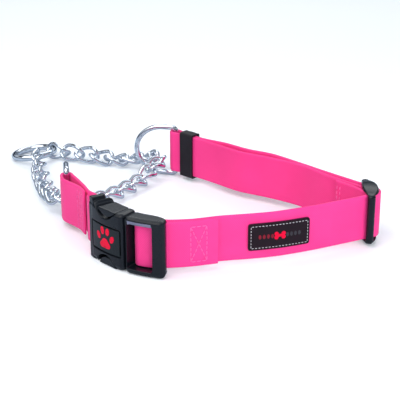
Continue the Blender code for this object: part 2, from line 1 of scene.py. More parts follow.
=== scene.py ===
"""The looks of a martingale dog collar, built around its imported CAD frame.

Plan points are (x, y) in metres in the drawing the CAD was laid out in, and ORIGIN takes
them to the row frame. The buckle has its own curved frame: u along it from the female
end, w through its thickness from the outer face, z up from the mid plane.
"""

import math

import bmesh
import bpy
from mathutils import Matrix, Vector, noise


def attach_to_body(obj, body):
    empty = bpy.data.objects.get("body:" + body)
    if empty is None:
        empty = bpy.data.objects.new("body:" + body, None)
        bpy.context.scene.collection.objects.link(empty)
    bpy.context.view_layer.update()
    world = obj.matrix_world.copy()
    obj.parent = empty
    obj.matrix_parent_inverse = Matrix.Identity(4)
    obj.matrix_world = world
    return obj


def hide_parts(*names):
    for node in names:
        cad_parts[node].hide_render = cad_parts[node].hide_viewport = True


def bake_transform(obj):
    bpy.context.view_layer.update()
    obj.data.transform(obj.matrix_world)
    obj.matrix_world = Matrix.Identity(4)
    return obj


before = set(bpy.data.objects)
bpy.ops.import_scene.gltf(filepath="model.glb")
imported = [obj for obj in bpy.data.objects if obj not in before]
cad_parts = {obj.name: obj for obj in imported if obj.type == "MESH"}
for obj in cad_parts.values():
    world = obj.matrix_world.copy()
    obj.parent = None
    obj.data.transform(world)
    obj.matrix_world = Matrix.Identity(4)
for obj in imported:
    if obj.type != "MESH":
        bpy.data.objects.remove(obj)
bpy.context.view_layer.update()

MM = 0.001
ORIGIN = Vector((-1.60, -3.42)) * MM
CENTRE_Z = 16.0 * MM
WEB_WIDTH = 25.0 * MM
WEB_THICK = 1.8 * MM
PATH_THICK = 2.0 * MM        # the webbing thickness the layout allows for
LAYER_PITCH = 2.4 * MM
GAP = 0.3 * MM
SMOOTHING_PASSES = 2

BUCKLE_MIDDLE = Vector((-30.6, -88.8)) * MM
BUCKLE_ANGLE = math.radians(-37.2)
BUCKLE_CURVE = 58.0 * MM
MIDDLE_U = 23.6 * MM
MALE_BAR = Vector((33.0, 8.0)) * MM
FEMALE_BAR = Vector((3.2, 7.7)) * MM
BAR_RADIUS = 1.6 * MM

SHORT_END_X = 19.0 * MM
BACK_ANGLE = math.radians(137.3)
RIGHT_BAR = Vector((-4.6, 48.2)) * MM
LEFT_BAR = Vector((-62.6, -25.0)) * MM
SLIDER_BAR = Vector((98.4, -49.2)) * MM
SLIDER_BAR_RADIUS = 1.3 * MM
SLIDER_NEAR_BAR = Vector((98.9, -58.6)) * MM
PLATE_MIDDLE = Vector((1.2, 2.0)) * MM
SWING_RADIUS = 110.2 * MM
KEEPER_START = 6.6 * MM
KEEPER_LENGTH = 9.6 * MM

# Drawn wire as a share of its full size, so that joined wires clear at the joints' limits.
D_SHARE, RING_SHARE, LINK_SHARE = 0.97, 0.98, 0.96
D_WIRE = 3.2 * MM
D_HEIGHT = 32.0 * MM
D_REACH = 21.7 * MM
RIGHT_D_REACH = 24.4 * MM
RIGHT_D_ANGLE = math.radians(168.0)
LEFT_D_ANGLE = math.radians(97.7)

PITCH = 10.8 * MM
LINK_WIRE = 2.4 * MM
LINK_HALF_LENGTH = 7.3 * MM
LINK_HALF_WIDTH = 4.4 * MM
LINK_TWIST = math.radians(48.0)
CHAIN_Z = 4.3 * MM
CROSSING_Z = 8.8 * MM
CROSSING_REACH = 11.0 * MM
RIGHT_CORNER = math.radians(-71.0)
LEFT_CORNER = math.radians(166.4)
RIGHT_SHIFT = -3.3 * MM
LEFT_SHIFT = 1.4 * MM
CROSSING_FLAT = 5.0 * MM
CROSSING_SLOPE = 24.0 * MM
RUN_LINKS = (7, 7, 8)
RUN_BOWS = (-1.2 * MM, 4.6 * MM, 2.2 * MM)
RING_RADIUS = 12.5 * MM
RING_WIRE = 4.0 * MM
RING_CENTRE = Vector((-94.8, 77.6)) * MM
RING_TILT = math.radians(9.0)
RING_HIGH_SIDE = math.radians(-32.0)
RUN_A_SIDE = math.radians(-5.0)
RUN_C_SIDE = math.radians(-74.0)
HOOK_Z = 6.0 * MM
HOOK_FLAT = 20.0 * MM
HOOK_SLOPE = 24.0 * MM
HOOK_REACH = PITCH / 2 - (LINK_HALF_LENGTH - LINK_WIRE / 2 - RING_WIRE / 2 - GAP)
END_LINK_ROLL = math.radians(108.0)
ROLLED_LINKS = 4


# ---------------------------------------------------------------- plan paths


def on_table(point):
    return Vector(point) - ORIGIN


def along(angle):
    return Vector((math.cos(angle), math.sin(angle)))


def buckle_turn(u):
    return (u - MIDDLE_U) / BUCKLE_CURVE


def buckle_point(u, w):
    across = along(BUCKLE_ANGLE + math.pi / 2)
    outward = along(BUCKLE_ANGLE + buckle_turn(u) - math.pi / 2)
    return BUCKLE_MIDDLE + across * BUCKLE_CURVE + outward * (BUCKLE_CURVE - w)


def arc(centre, radius, start, end, steps):
    turn = (end - start) / steps
    return [centre + along(start + turn * i) * radius for i in range(steps + 1)]


def smooth_path(points, spacing=2.2 * MM):
    """A centripetal Catmull-Rom curve through the points."""
    first = points[0] * 2 - points[1]
    last = points[-1] * 2 - points[-2]
    guide = [first] + list(points) + [last]
    found = []
    for before, start, end, after in zip(guide, guide[1:], guide[2:], guide[3:]):
        knots = [0.0]
        for a, b in ((before, start), (start, end), (end, after)):
            knots.append(knots[-1] + max(math.sqrt((b - a).length), 1e-6))
        k0, k1, k2, k3 = knots
        count = max(1, round((end - start).length / spacing))
        for i in range(count):
            k = k1 + (k2 - k1) * i / count
            a1 = (before * (k1 - k) + start * (k - k0)) / (k1 - k0)
            a2 = (start * (k2 - k) + end * (k - k1)) / (k2 - k1)
            a3 = (end * (k3 - k) + after * (k - k2)) / (k3 - k2)
            b1 = (a1 * (k2 - k) + a2 * (k - k0)) / (k2 - k0)
            b2 = (a2 * (k3 - k) + a3 * (k - k1)) / (k3 - k1)
            found.append((b1 * (k2 - k) + b2 * (k - k1)) / (k2 - k1))
    return found + [points[-1]]


def offset_path(points, distance):
    moved = []
    for i, point in enumerate(points):
        ahead = points[min(i + 1, len(points) - 1)] - points[max(i - 1, 0)]
        ahead.normalize()
        moved.append(point + Vector((-ahead.y, ahead.x)) * distance)
    return moved


def loop_radius(bar_radius):
    return bar_radius + GAP + PATH_THICK / 2


def front_run():
    return [Vector(p) * MM for p in (
        (4.5, -88.4), (18.8, -84.2), (35.2, -81.2), (50.5, -77.2),
        (66.3, -71.0), (82.6, -63.2), (95.8, -56.6))]


def back_line(distance, layer):
    side = along(BACK_ANGLE - math.pi / 2) * (LAYER_PITCH / 2) * layer
    return RIGHT_BAR - along(BACK_ANGLE) * distance + side


def swing_point():
    across = along(BUCKLE_ANGLE + buckle_turn(MALE_BAR.x) + math.pi / 2)
    return buckle_point(*MALE_BAR) + across * SWING_RADIUS


def long_path():
    """The whole long webbing: from the sewn outer end, round the male bar, along the
    front, round the slider, along the back, round the right D-ring's bar, back along the
    inner layer and round the slider's middle bar."""
    inner = front_run()
    outer = offset_path(inner, -LAYER_PITCH)
    radius = loop_radius(BAR_RADIUS)
    end = outer[1] + Vector((SHORT_END_X - outer[1].x, 0))
    start = [end, outer[0], buckle_point(46.5 * MM, 6.9 * MM), buckle_point(42.5 * MM, 6.1 * MM),
             buckle_point(38.0 * MM, 5.4 * MM)]
    toward = BUCKLE_ANGLE + buckle_turn(MALE_BAR.x) - math.pi / 2
    male_wrap = arc(buckle_point(*MALE_BAR), radius, toward, toward - math.pi, 10)
    leave = [buckle_point(38.0 * MM, 10.8 * MM), buckle_point(43.0 * MM, 10.5 * MM),
             buckle_point(48.0 * MM, 10.2 * MM)]
    turn = [Vector(p) * MM for p in ((102.9, -53.2), (104.4, -48.6), (102.2, -43.6), (96.6, -38.6))]
    back = [Vector(p) * MM for p in ((88.4, -30.6), (77.0, -19.0), (67.0, -8.4), (52.1, 6.8))]
    side = along(BACK_ANGLE - math.pi / 2)
    outer_back = [swing_point() + side * 6.9 * MM, Vector((25.6, 25.8)) * MM]
    outer_back += [back_line(distance * MM, 1) for distance in (22, 17, 12, 9, 6.4)]
    ring_wrap = arc(RIGHT_BAR, loop_radius(D_WIRE / 2), BACK_ANGLE - math.pi / 2 - 0.3,
                    BACK_ANGLE + math.pi / 2 + 0.3, 10)
    inner_back = [back_line(distance * MM, -1) for distance in (6.4, 9, 12, 18, 24, 34)]
    inner_back += [swing_point() + side * 0.7 * MM]
    inner_back += [Vector(p) * MM for p in (
        (48.3, 2.7), (66.9, -11.4), (78.4, -25.2), (88.6, -35.9))]
    slider_wrap = arc(SLIDER_BAR, loop_radius(SLIDER_BAR_RADIUS), BACK_ANGLE - math.pi / 2 + 0.1,
                      BACK_ANGLE - math.pi * 1.5 - 0.1, 9)
    tail = [Vector(p) * MM for p in ((91.6, -43.6), (87.4, -38.6), (83.2, -34.0))]
    return (smooth_path(start + [male_wrap[0]])[:-1] + male_wrap
            + smooth_path([male_wrap[-1]] + leave + inner)[1:-1]
            + smooth_path([inner[-1]] + turn + back + outer_back + [ring_wrap[0]])[:-1] + ring_wrap
            + smooth_path([ring_wrap[-1]] + inner_back + [slider_wrap[0]])[1:-1] + slider_wrap
            + smooth_path([slider_wrap[-1]] + tail)[1:])


def short_path():
    ring = loop_radius(D_WIRE / 2)
    bar = loop_radius(BAR_RADIUS)
    around_ring = arc(LEFT_BAR, ring, math.radians(190), math.radians(-5), 10)
    toward = BUCKLE_ANGLE + buckle_turn(FEMALE_BAR.x) + math.pi / 2
    around_bar = arc(buckle_point(*FEMALE_BAR), bar, toward, toward - math.pi, 10)
    near = [Vector(p) * MM for p in (
        (-50.6, -50.9), (-53.7, -44.0), (-58.6, -38.0), (-64.0, -31.8))]
    far = [Vector(p) * MM for p in (
        (-56.6, -31.0), (-53.6, -37.4), (-51.0, -43.2), (-48.4, -49.8), (-44.6, -54.2))]
    close = [buckle_point(-3.0 * MM, 4.8 * MM), Vector((-48.6, -56.4)) * MM]
    return (smooth_path(near + [around_ring[0]])[:-1] + around_ring
            + smooth_path([around_ring[-1]] + far + [around_bar[0]])[1:-1] + around_bar
            + smooth_path([around_bar[-1]] + close)[1:])


def even_path(points, spacing):
    """The path in the row frame, evenly spaced and lightly smoothed."""
    spots = [on_table(p) for p in points]
    lengths = [0.0]
    for a, b in zip(spots, spots[1:]):
        lengths.append(lengths[-1] + (b - a).length)
    count = round(lengths[-1] / spacing)
    found, k = [], 0
    for i in range(count + 1):
        s = lengths[-1] * i / count
        while k < len(lengths) - 2 and lengths[k + 1] < s:
            k += 1
        share = (s - lengths[k]) / max(lengths[k + 1] - lengths[k], 1e-9)
        found.append(spots[k].lerp(spots[k + 1], min(1.0, share)))
    for _ in range(SMOOTHING_PASSES):
        found = [found[0]] + [
            (a + b * 2 + c) / 4 for a, b, c in zip(found, found[1:], found[2:])] + [found[-1]]
    return found


# ---------------------------------------------------------------- materials


def new_material(name):
    made = bpy.data.materials.new(name)
    made.use_nodes = True
    return made, made.node_tree, made.node_tree.nodes["Principled BSDF"]


def add(tree, kind, **settings):
    node = tree.nodes.new(kind)
    for key, value in settings.items():
        if key in node.inputs:
            node.inputs[key].default_value = value
        else:
            setattr(node, key, value)
    return node


def texture(tree, kind, **settings):
    """A texture node that reads the object's own coordinates."""
    node = add(tree, "ShaderNodeTex" + kind, **settings)
    coords = tree.nodes.new("ShaderNodeTexCoord")
    tree.links.new(coords.outputs["Object"], node.inputs["Vector"])
    return node


def set_inputs(node, values):
    for key, value in values.items():
        node.inputs[key].default_value = value


def math_node(tree, operation, *values):
    node = tree.nodes.new("ShaderNodeMath")
    node.operation = operation
    for place, value in enumerate(values):
        if isinstance(value, (int, float)):
            node.inputs[place].default_value = value
        else:
            tree.links.new(value, node.inputs[place])
    return node.outputs[0]


def cloth_coordinates(tree):
    """(along, across) of a strip in millimetres, from the mesh's own attribute."""
    attribute = add(tree, "ShaderNodeAttribute", attribute_name="cloth")
    split = tree.nodes.new("ShaderNodeSeparateXYZ")
    tree.links.new(attribute.outputs["Vector"], split.inputs[0])
    return split.outputs[0], split.outputs[1]


def mixed_colour(tree, factor, dark, light):
    ramp = tree.nodes.new("ShaderNodeValToRGB")
    ramp.color_ramp.elements[0].color = (*dark, 1)
    ramp.color_ramp.elements[1].color = (*light, 1)
    tree.links.new(factor, ramp.inputs[0])
    return ramp.outputs[0]


def bumped(tree, shader, height, strength, distance):
    bump = add(tree, "ShaderNodeBump", Strength=strength, Distance=distance)
    tree.links.new(height, bump.inputs["Height"])
    tree.links.new(bump.outputs[0], shader.inputs["Normal"])


def webbing_material(name, dark, light, rib=1.3, pick=1.05, sheen=0.1):
    made, tree, shader = new_material(name)
    s, v = cloth_coordinates(tree)
    ribs = math_node(tree, "SINE", math_node(tree, "MULTIPLY", v, 2 * math.pi / rib))
    picks = math_node(tree, "SINE", math_node(tree, "MULTIPLY", s, 2 * math.pi / pick))
    weave = math_node(tree, "MULTIPLY_ADD", math_node(tree, "MULTIPLY", ribs, picks), 0.5, 0.5)
    cloud = texture(tree, "Noise", Scale=60.0, Detail=3.0)
    shade = math_node(tree, "MULTIPLY", cloud.outputs["Fac"], 0.55)
    blend = math_node(tree, "MULTIPLY_ADD", weave, 0.45, shade)
    tree.links.new(mixed_colour(tree, blend, dark, light), shader.inputs["Base Color"])
    set_inputs(shader, {"Roughness": 0.62, "Sheen Weight": sheen, "Sheen Roughness": 0.4,
                        "Specular IOR Level": 0.3})
    bumped(tree, shader, weave, 0.35, 0.00012)
    return made


def plastic_material(name, colour, roughness, specular=0.29):
    made, tree, shader = new_material(name)
    grain = texture(tree, "Noise", Scale=2600.0, Detail=4.0)
    patch = texture(tree, "Noise", Scale=90.0, Detail=2.0)
    light = tuple(c * 1.45 for c in colour)
    tree.links.new(mixed_colour(tree, patch.outputs["Fac"], colour, light),
                   shader.inputs["Base Color"])
    set_inputs(shader, {"Specular IOR Level": specular})
    rough = math_node(tree, "MULTIPLY_ADD", patch.outputs["Fac"], 0.16, roughness - 0.08)
    tree.links.new(rough, shader.inputs["Roughness"])
    bumped(tree, shader, grain.outputs["Fac"], 0.12, 0.00006)
    return made


def chrome_material():
    made, tree, shader = new_material("chrome_wire_look")
    wear = texture(tree, "Noise", Scale=420.0, Detail=5.0)
    tree.links.new(mixed_colour(tree, wear.outputs["Fac"], (0.68, 0.73, 0.80), (0.88, 0.92, 0.97)),
                   shader.inputs["Base Color"])
    set_inputs(shader, {"Metallic": 1.0})
    rough = math_node(tree, "MULTIPLY_ADD", wear.outputs["Fac"], 0.10, 0.05)
    tree.links.new(rough, shader.inputs["Roughness"])
    bumped(tree, shader, wear.outputs["Fac"], 0.05, 0.0001)
    return made


def leather_material():
    made, tree, shader = new_material("black_leather_look")
    grain = texture(tree, "Voronoi", Scale=1500.0)
    patch = texture(tree, "Noise", Scale=220.0, Detail=3.0)
    dark, light = (0.006, 0.002, 0.004), (0.014, 0.004, 0.009)
    tree.links.new(mixed_colour(tree, patch.outputs["Fac"], dark, light),
                   shader.inputs["Base Color"])
    set_inputs(shader, {"Roughness": 0.55, "Specular IOR Level": 0.3})
    bumped(tree, shader, grain.outputs["Distance"], 0.3, 0.0001)
    return made


def thread_material(name, colour):
    made, tree, shader = new_material(name)
    ply = texture(tree, "Wave", Scale=900.0, Distortion=1.0)
    dark = tuple(c * 0.75 for c in colour)
    tree.links.new(mixed_colour(tree, ply.outputs["Fac"], dark, colour),
                   shader.inputs["Base Color"])
    set_inputs(shader, {"Roughness": 0.5})
    bumped(tree, shader, ply.outputs["Fac"], 0.3, 0.00008)
    return made


LOOKS = {
    "pink": webbing_material("pink_webbing_look", (0.78, 0.028, 0.20), (0.97, 0.055, 0.30)),
    "elastic": webbing_material("black_elastic_look", (0.006, 0.004, 0.007), (0.013, 0.011, 0.016),
                                1.6, 0.8, 0.05),
    "plastic": plastic_material("black_plastic_look", (0.004, 0.0055, 0.0085), 0.25),
    "panel": plastic_material("badge_panel_look", (0.004, 0.007, 0.009), 0.24),
    # A lighter grey-lavender for the window's flared top edge: a painted highlight that stands in
    # for the bright floor reflected in the chamfer.
    "chamfer": plastic_material("chamfer_painted_highlight_look", (0.15, 0.16, 0.235), 0.22),
    "crimson": plastic_material("crimson_inlay_look", (0.56, 0.001, 0.028), 0.45, 0.12),
    "ash": plastic_material("grey_print_look", (0.028, 0.026, 0.032), 0.5),
    "dim_crimson": plastic_material("dim_crimson_look", (0.16, 0.004, 0.014), 0.5),
    "chrome": chrome_material(),
    "leather": leather_material(),
    "pink_thread": thread_material("pink_thread_look", (1.0, 0.13, 0.44)),
    "pale_thread": thread_material("pale_thread_look", (0.55, 0.55, 0.58)),
}


# ---------------------------------------------------------------- mesh helpers


def mesh_object(name, form):
    mesh = bpy.data.meshes.new(name)
    form.to_mesh(mesh)
    form.free()
    obj = bpy.data.objects.new(name, mesh)
    bpy.context.scene.collection.objects.link(obj)
    return obj


def finish_mesh(name, form, look):
    obj = mesh_object(name, form)
    obj.data.materials.append(LOOKS[look])
    obj.data.shade_smooth()
    return obj


def skin(form, low, high):
    """A band of faces between two closed rings of points."""
    for k in range(len(low)):
        n = (k + 1) % len(low)
        form.faces.new((low[k], low[n], high[n], high[k]))


def attach(obj, body):
    """Gives a piece the body it moves with."""
    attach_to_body(obj, body)


def strip_profile(width, thick, across=24):
    """The closed cross-section of a strip: (height, thickness) points. The woven edge is
    a bead with a shallow valley beside it."""
    half, round_edge = width / 2, thick / 2
    face = []
    for i in range(across + 1):
        v = (-1 + 2 * i / across) * (half - round_edge)
        from_edge = half - abs(v)
        valley = 0.10 * MM * math.exp(-((from_edge - 2.0 * MM) / (0.5 * MM)) ** 2)
        face.append((v, thick / 2 - valley))
    edge = [(half - round_edge + round_edge * math.cos(a), round_edge * math.sin(a))
            for a in (math.pi / 4, 0, -math.pi / 4)]
    profile = face + edge
    return profile + [(-v, -d) for v, d in profile]


def strip(name, path, width, thick, look, seed=0.0, ripple=0.12):
    """A webbing strip standing on its edge along a path in the row frame."""
    form = bmesh.new()
    cloth = form.verts.layers.float_vector.new("cloth")
    profile = strip_profile(width, thick)
    total = sum((b - a).length for a, b in zip(path, path[1:]))
    rings, s = [], 0.0
    for i, point in enumerate(path):
        ahead = (path[min(i + 1, len(path) - 1)] - path[max(i - 1, 0)]).normalized()
        side = Vector((-ahead.y, ahead.x))
        if i:
            s += (point - path[i - 1]).length
        lift = noise.noise(Vector((s * 38, seed, 0))) * 0.25 * MM
        sway = noise.noise(Vector((s * 55, seed, 7))) * ripple * MM
        ring = []
        from_end = min(s, total - s)
        taper = min(1.0, 0.55 + 0.45 * from_end / (1.2 * MM))
        for v, d in profile:
            d *= taper
            wave = noise.noise(Vector((s * 90, v * 120, seed + 3))) * 0.07 * MM
            place = point + side * (d + sway + wave)
            vert = form.verts.new((place.x, place.y, CENTRE_Z + v + lift))
            vert[cloth] = (s / MM, v / MM, 1 if d > 0 else -1)
            ring.append(vert)
        rings.append(ring)
    for low, high in zip(rings, rings[1:]):
        skin(form, low, high)
    form.faces.new(list(reversed(rings[0])))
    form.faces.new(rings[-1])
    bmesh.ops.recalc_face_normals(form, faces=form.faces)
    obj = finish_mesh(name, form, look)
    obj.data.set_sharp_from_angle(angle=math.radians(60))
    return obj


def strip_surface(path, thick, side_sign):
    """A function from (along, height) on one face of a strip to its place and normal."""
    lengths = [0.0]
    for a, b in zip(path, path[1:]):
        lengths.append(lengths[-1] + (b - a).length)

    def place(s, v, lift=0.0):
        k = min(range(len(lengths)), key=lambda i: abs(lengths[i] - s))
        k = max(1, min(len(path) - 2, k))
        ahead = (path[k + 1] - path[k - 1]).normalized()
        side = Vector((-ahead.y, ahead.x)) * side_sign
        point = path[k] + ahead * (s - lengths[k]) + side * (thick / 2 + lift)
        return Vector((point.x, point.y, CENTRE_Z + v)), Vector((side.x, side.y, 0))
    place.length = lengths[-1]
    return place


def stitches(name, surface, lines, look, length=2.1, step=2.7, radius=0.27):
    """Thread stitches along straight lines on a surface, in millimetres."""
    form = bmesh.new()
    for (s0, v0), (s1, v1) in lines:
        reach = math.hypot(s1 - s0, v1 - v0)
        count = max(1, round(reach / step))
        for i in range(count):
            middle = (i + 0.5) / count
            half = length / 2 / reach
            rings = []
            for j in range(7):
                share = middle + half * (j / 3 - 1)
                rise = math.sin(math.pi * j / 6)
                spot, normal = surface((s0 + (s1 - s0) * share) * MM, (v0 + (v1 - v0) * share) * MM,
                                       (rise * 0.22 - 0.10) * MM)
                rings.append((spot, normal, radius * MM * (0.45 + 0.55 * rise)))
            axis = (rings[-1][0] - rings[0][0]).normalized()
            previous = None
            for spot, normal, size in rings:
                across = axis.cross(normal).normalized()
                ring = [form.verts.new(spot + (normal * math.sin(a) + across * math.cos(a)) * size)
                        for a in (math.pi * k / 4 for k in range(8))]
                if previous:
                    skin(form, previous, ring)
                else:
                    form.faces.new(list(reversed(ring)))
                previous = ring
            form.faces.new(previous)
    bmesh.ops.recalc_face_normals(form, faces=form.faces)
    return finish_mesh(name, form, look)


def box_and_cross(s0, s1, v0, v1):
    corners = [(s0, v0), (s1, v0), (s1, v1), (s0, v1)]
    sides = list(zip(corners, corners[1:] + corners[:1]))
    return sides + [(corners[0], corners[2]), (corners[1], corners[3])]


def raised_shape(form, outline, surface, height=0.16):
    """A low raised patch on a surface, from a closed outline in millimetres."""
    centre = (sum(p[0] for p in outline) / len(outline), sum(p[1] for p in outline) / len(outline))
    rings = []
    for share, lift in ((1.0, -0.05), (1.0, height * 0.7), (0.9, height), (0.5, height)):
        ring = []
        for p in outline:
            s = centre[0] + (p[0] - centre[0]) * share
            v = centre[1] + (p[1] - centre[1]) * share
            ring.append(form.verts.new(surface(s * MM, v * MM, lift * MM)[0]))
        rings.append(ring)
    for low, high in zip(rings, rings[1:]):
        skin(form, low, high)
    form.faces.new(rings[-1])
    form.faces.new(list(reversed(rings[0])))


def ellipse(s, v, a, b, turn=0.0, count=24):
    points = []
    for i in range(count):
        t = 2 * math.pi * i / count
        x, y = a * math.cos(t), b * math.sin(t)
        points.append((s + x * math.cos(turn) - y * math.sin(turn),
                       v + x * math.sin(turn) + y * math.cos(turn)))
    return points


def wire_mesh(name, points, radius, sides=14):
    """A round chrome wire along a closed centreline, with parallel-carried rings."""
    form = bmesh.new()
    count = len(points)
    tangents = [(points[(i + 1) % count] - points[i - 1]).normalized() for i in range(count)]
    normal = tangents[0].orthogonal().normalized()
    normals = []
    for tangent in tangents:
        normal = (normal - tangent * normal.dot(tangent)).normalized()
        normals.append(normal)
    last = (normals[-1] - tangents[0] * normals[-1].dot(tangents[0])).normalized()
    twist = last.cross(normals[0]).dot(tangents[0])
    twist = math.atan2(twist, last.dot(normals[0]))
    rings = []
    for i, (point, tangent, normal) in enumerate(zip(points, tangents, normals)):
        turned = Matrix.Rotation(twist * i / count, 3, tangent) @ normal
        across = tangent.cross(turned)
        rings.append([form.verts.new(point + (turned * math.cos(a) + across * math.sin(a)) * radius)
                      for a in (2 * math.pi * k / sides for k in range(sides))])
    for low, high in zip(rings, rings[1:] + rings[:1]):
        skin(form, low, high)
    bmesh.ops.recalc_face_normals(form, faces=form.faces)
    return finish_mesh(name, form, "chrome")


# ---------------------------------------------------------------- webbing pieces

MAIN = even_path(long_path(), 1.0 * MM)
SHORT = even_path(short_path(), 0.8 * MM)


def webbing_pieces():
    strap = strip("strap_long", MAIN, WEB_WIDTH, WEB_THICK, "pink", 1.0)
    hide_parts("webbing_front", "webbing_back", "webbing_inner_end")
    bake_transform(strap)
    strap_short = strip("strap_short", SHORT, WEB_WIDTH, WEB_THICK, "pink", 9.0, 0.06)
    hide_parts("webbing_short")
    attach(strap_short, "collar_back")

    outside = strip_surface(MAIN, WEB_THICK, 1)
    seam = stitches("box_stitch_front", outside, box_and_cross(6.2, 14.4, -9.4, 9.4), "pink_thread")
    attach(seam, "front_strap")
    reach = outside.length / MM
    for name, side in (("tail_stitch", 1), ("tail_stitch_inner", -1)):
        face = strip_surface(MAIN, WEB_THICK, side)
        lines = [((s, -10.0), (s, 10.0)) for s in (reach - 3.6, reach - 1.6)]
        attach(stitches(name, face, lines, "pink_thread"), "front_strap")
    short_face = strip_surface(SHORT, WEB_THICK, 1)
    lines = [((s, -10.5), (s, 10.5)) for s in (2.2, 5.4, 8.6)]
    seam = stitches("row_stitch_short", short_face, lines, "pink_thread")
    attach(seam, "collar_back")


def label_piece():
    run = even_path([p for p in smooth_path(front_run(), 1.4 * MM) if 32.8 * MM < p.x < 65.4 * MM],
                    0.7 * MM)
    patch_thick = 1.2 * MM
    middle = WEB_THICK / 2 + 0.25 * MM + patch_thick / 2
    surface = strip_surface(offset_path(run, -middle), patch_thick, -1)
    length, half, corner = surface.length, 7.2 * MM, 1.2 * MM
    inset = 1.3        # the stitch line's distance from the edge, in millimetres
    form = bmesh.new()
    columns, rows = 48, 16
    faces = {}
    for side in (-1, 1):
        for i in range(columns + 1):
            for j in range(rows + 1):
                s, v = length * i / columns, half * (2 * j / rows - 1)
                near_s, near_v = min(s, length - s), half - abs(v)
                if near_s < corner and near_v < corner:
                    cut = Vector((corner - near_s, corner - near_v))
                    if cut.length > corner:
                        cut = cut.normalized() * corner
                        s = corner - cut.x if s < length / 2 else length - corner + cut.x
                        v = math.copysign(half - corner + cut.y, v)
                edge = min(near_s, near_v) / MM
                drop = (0.25 * math.exp(-(edge / 0.45) ** 2)
                        + 0.12 * math.exp(-((edge - inset) / 0.35) ** 2))
                spot, normal = surface(s, v)
                if side < 0:
                    spot = spot - normal * patch_thick
                    drop = 0
                faces[side, i, j] = form.verts.new(spot - normal * drop * MM)
    for side in (-1, 1):
        for i in range(columns):
            for j in range(rows):
                form.faces.new([faces[side, a, b] for a, b in (
                    (i, j), (i + 1, j), (i + 1, j + 1), (i, j + 1))])
    rim = ([(i, 0) for i in range(columns)] + [(columns, j) for j in range(rows)]
           + [(i, rows) for i in range(columns, 0, -1)] + [(0, j) for j in range(rows, 0, -1)])
    for a, b in zip(rim, rim[1:] + rim[:1]):
        form.faces.new((faces[1, *a], faces[1, *b], faces[-1, *b], faces[-1, *a]))
    bmesh.ops.recalc_face_normals(form, faces=form.faces)
    patch = finish_mesh("label_leather", form, "leather")
    patch.data.set_sharp_from_angle(angle=math.radians(50))
    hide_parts("label_patch")
    attach(patch, "front_strap")

    high, wide = 7.2 - inset, length / MM - inset
    edge = [((inset, -high), (wide, -high)), ((wide, -high), (wide, high)),
            ((wide, high), (inset, high)), ((inset, high), (inset, -high))]
    seam = stitches("label_stitch", surface, edge, "pale_thread", 1.1, 1.75, 0.2)
    attach(seam, "front_strap")

    centre = length / MM / 2
    bone = bmesh.new()
    raised_shape(bone, [(centre + x, y) for x, y in (
        (-1.6, -0.75), (1.6, -0.75), (1.6, 0.75), (-1.6, 0.75))], surface, 0.12)
    for x in (-1.9, 1.9):
        for y in (-0.95, 0.95):
            raised_shape(bone, ellipse(centre + x, y, 1.15, 1.15), surface, 0.14)
    attach(finish_mesh("label_bone_mark", bone, "crimson"), "front_strap")

    for name, look, places in (("label_dots_left", "dim_crimson", (-10.6, -8.4, -6.2, -4.0)),
                               ("label_dots_right", "ash", (4.0, 6.2, 8.4, 10.6))):
        dots = bmesh.new()
        for x in places:
            raised_shape(dots, ellipse(centre + x, 0, 0.75, 1.2, count=16), surface, 0.08)
        attach(finish_mesh(name, dots, look), "front_strap")


webbing_pieces()
label_piece()


def keeper_piece():
    """A woven elastic band round both layers."""
    half_thick = LAYER_PITCH / 2 + PATH_THICK / 2 + GAP
    half_high = WEB_WIDTH / 2 + GAP
    middle = on_table(back_line(KEEPER_START + KEEPER_LENGTH / 2, 0))
    ahead, side = along(BACK_ANGLE), along(BACK_ANGLE + math.pi / 2)
    form = bmesh.new()
    cloth = form.verts.layers.float_vector.new("cloth")
    corner = 1.1 * MM

    def outline(grow):
        a, b = half_thick + grow, half_high + grow
        points = []
        for cx, cy, start in ((a - corner, b - corner, 0), (-a + corner, b - corner, 1),
                              (-a + corner, -b + corner, 2), (a - corner, -b + corner, 3)):
            for k in range(5):
                t = math.pi / 2 * (start + k / 4)
                points.append((cx + corner * math.cos(t), cy + corner * math.sin(t)))
        dense = []
        for k, (p, q) in enumerate(zip(points, points[1:] + points[:1])):
            steps = 1 if k % 5 < 4 else (20 if k % 10 == 4 else 3)
            dense += [(p[0] + (q[0] - p[0]) * i / steps, p[1] + (q[1] - p[1]) * i / steps)
                      for i in range(steps)]
        return dense

    outer = outline(0.85 * MM)
    inner = outline(0.05 * MM)
    columns = 16
    grid = []
    for shell, points in ((1, outer), (0, inner)):
        for i in range(columns + 1):
            share = -1 + 2 * i / columns
            rows = []
            pinch = 0.14 * MM * math.exp(-((1 - abs(share)) / 0.06) ** 2) * shell
            swell = 0.10 * MM * math.cos(share * math.pi / 2) * shell
            grow = swell - pinch
            for d, v in points:
                reach = d + math.copysign(grow, d)
                spot = middle + ahead * (share * KEEPER_LENGTH / 2) + side * reach
                height = CENTRE_Z + (v + math.copysign(grow, v))
                vert = form.verts.new((spot.x, spot.y, height))
                vert[cloth] = (v / MM, share * KEEPER_LENGTH / 2 / MM, 1)
                rows.append(vert)
            grid.append(rows)
    sheets = [grid[:columns + 1], grid[columns + 1:]]
    for sheet in sheets:
        for low, high in zip(sheet, sheet[1:]):
            skin(form, low, high)
    for end in (0, -1):
        skin(form, sheets[0][end], sheets[1][end])
    bmesh.ops.recalc_face_normals(form, faces=form.faces)
    band = finish_mesh("keeper_elastic", form, "elastic")
    band.data.set_sharp_from_angle(angle=math.radians(50))
    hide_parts("keeper_band")
    attach(band, "keeper")


keeper_piece()


# ---------------------------------------------------------------- moulded pieces


def curved(u, w, z):
    """A point of the buckle's curved frame in the row frame."""
    point = on_table(buckle_point(u, w))
    return Vector((point.x, point.y, CENTRE_Z + z))


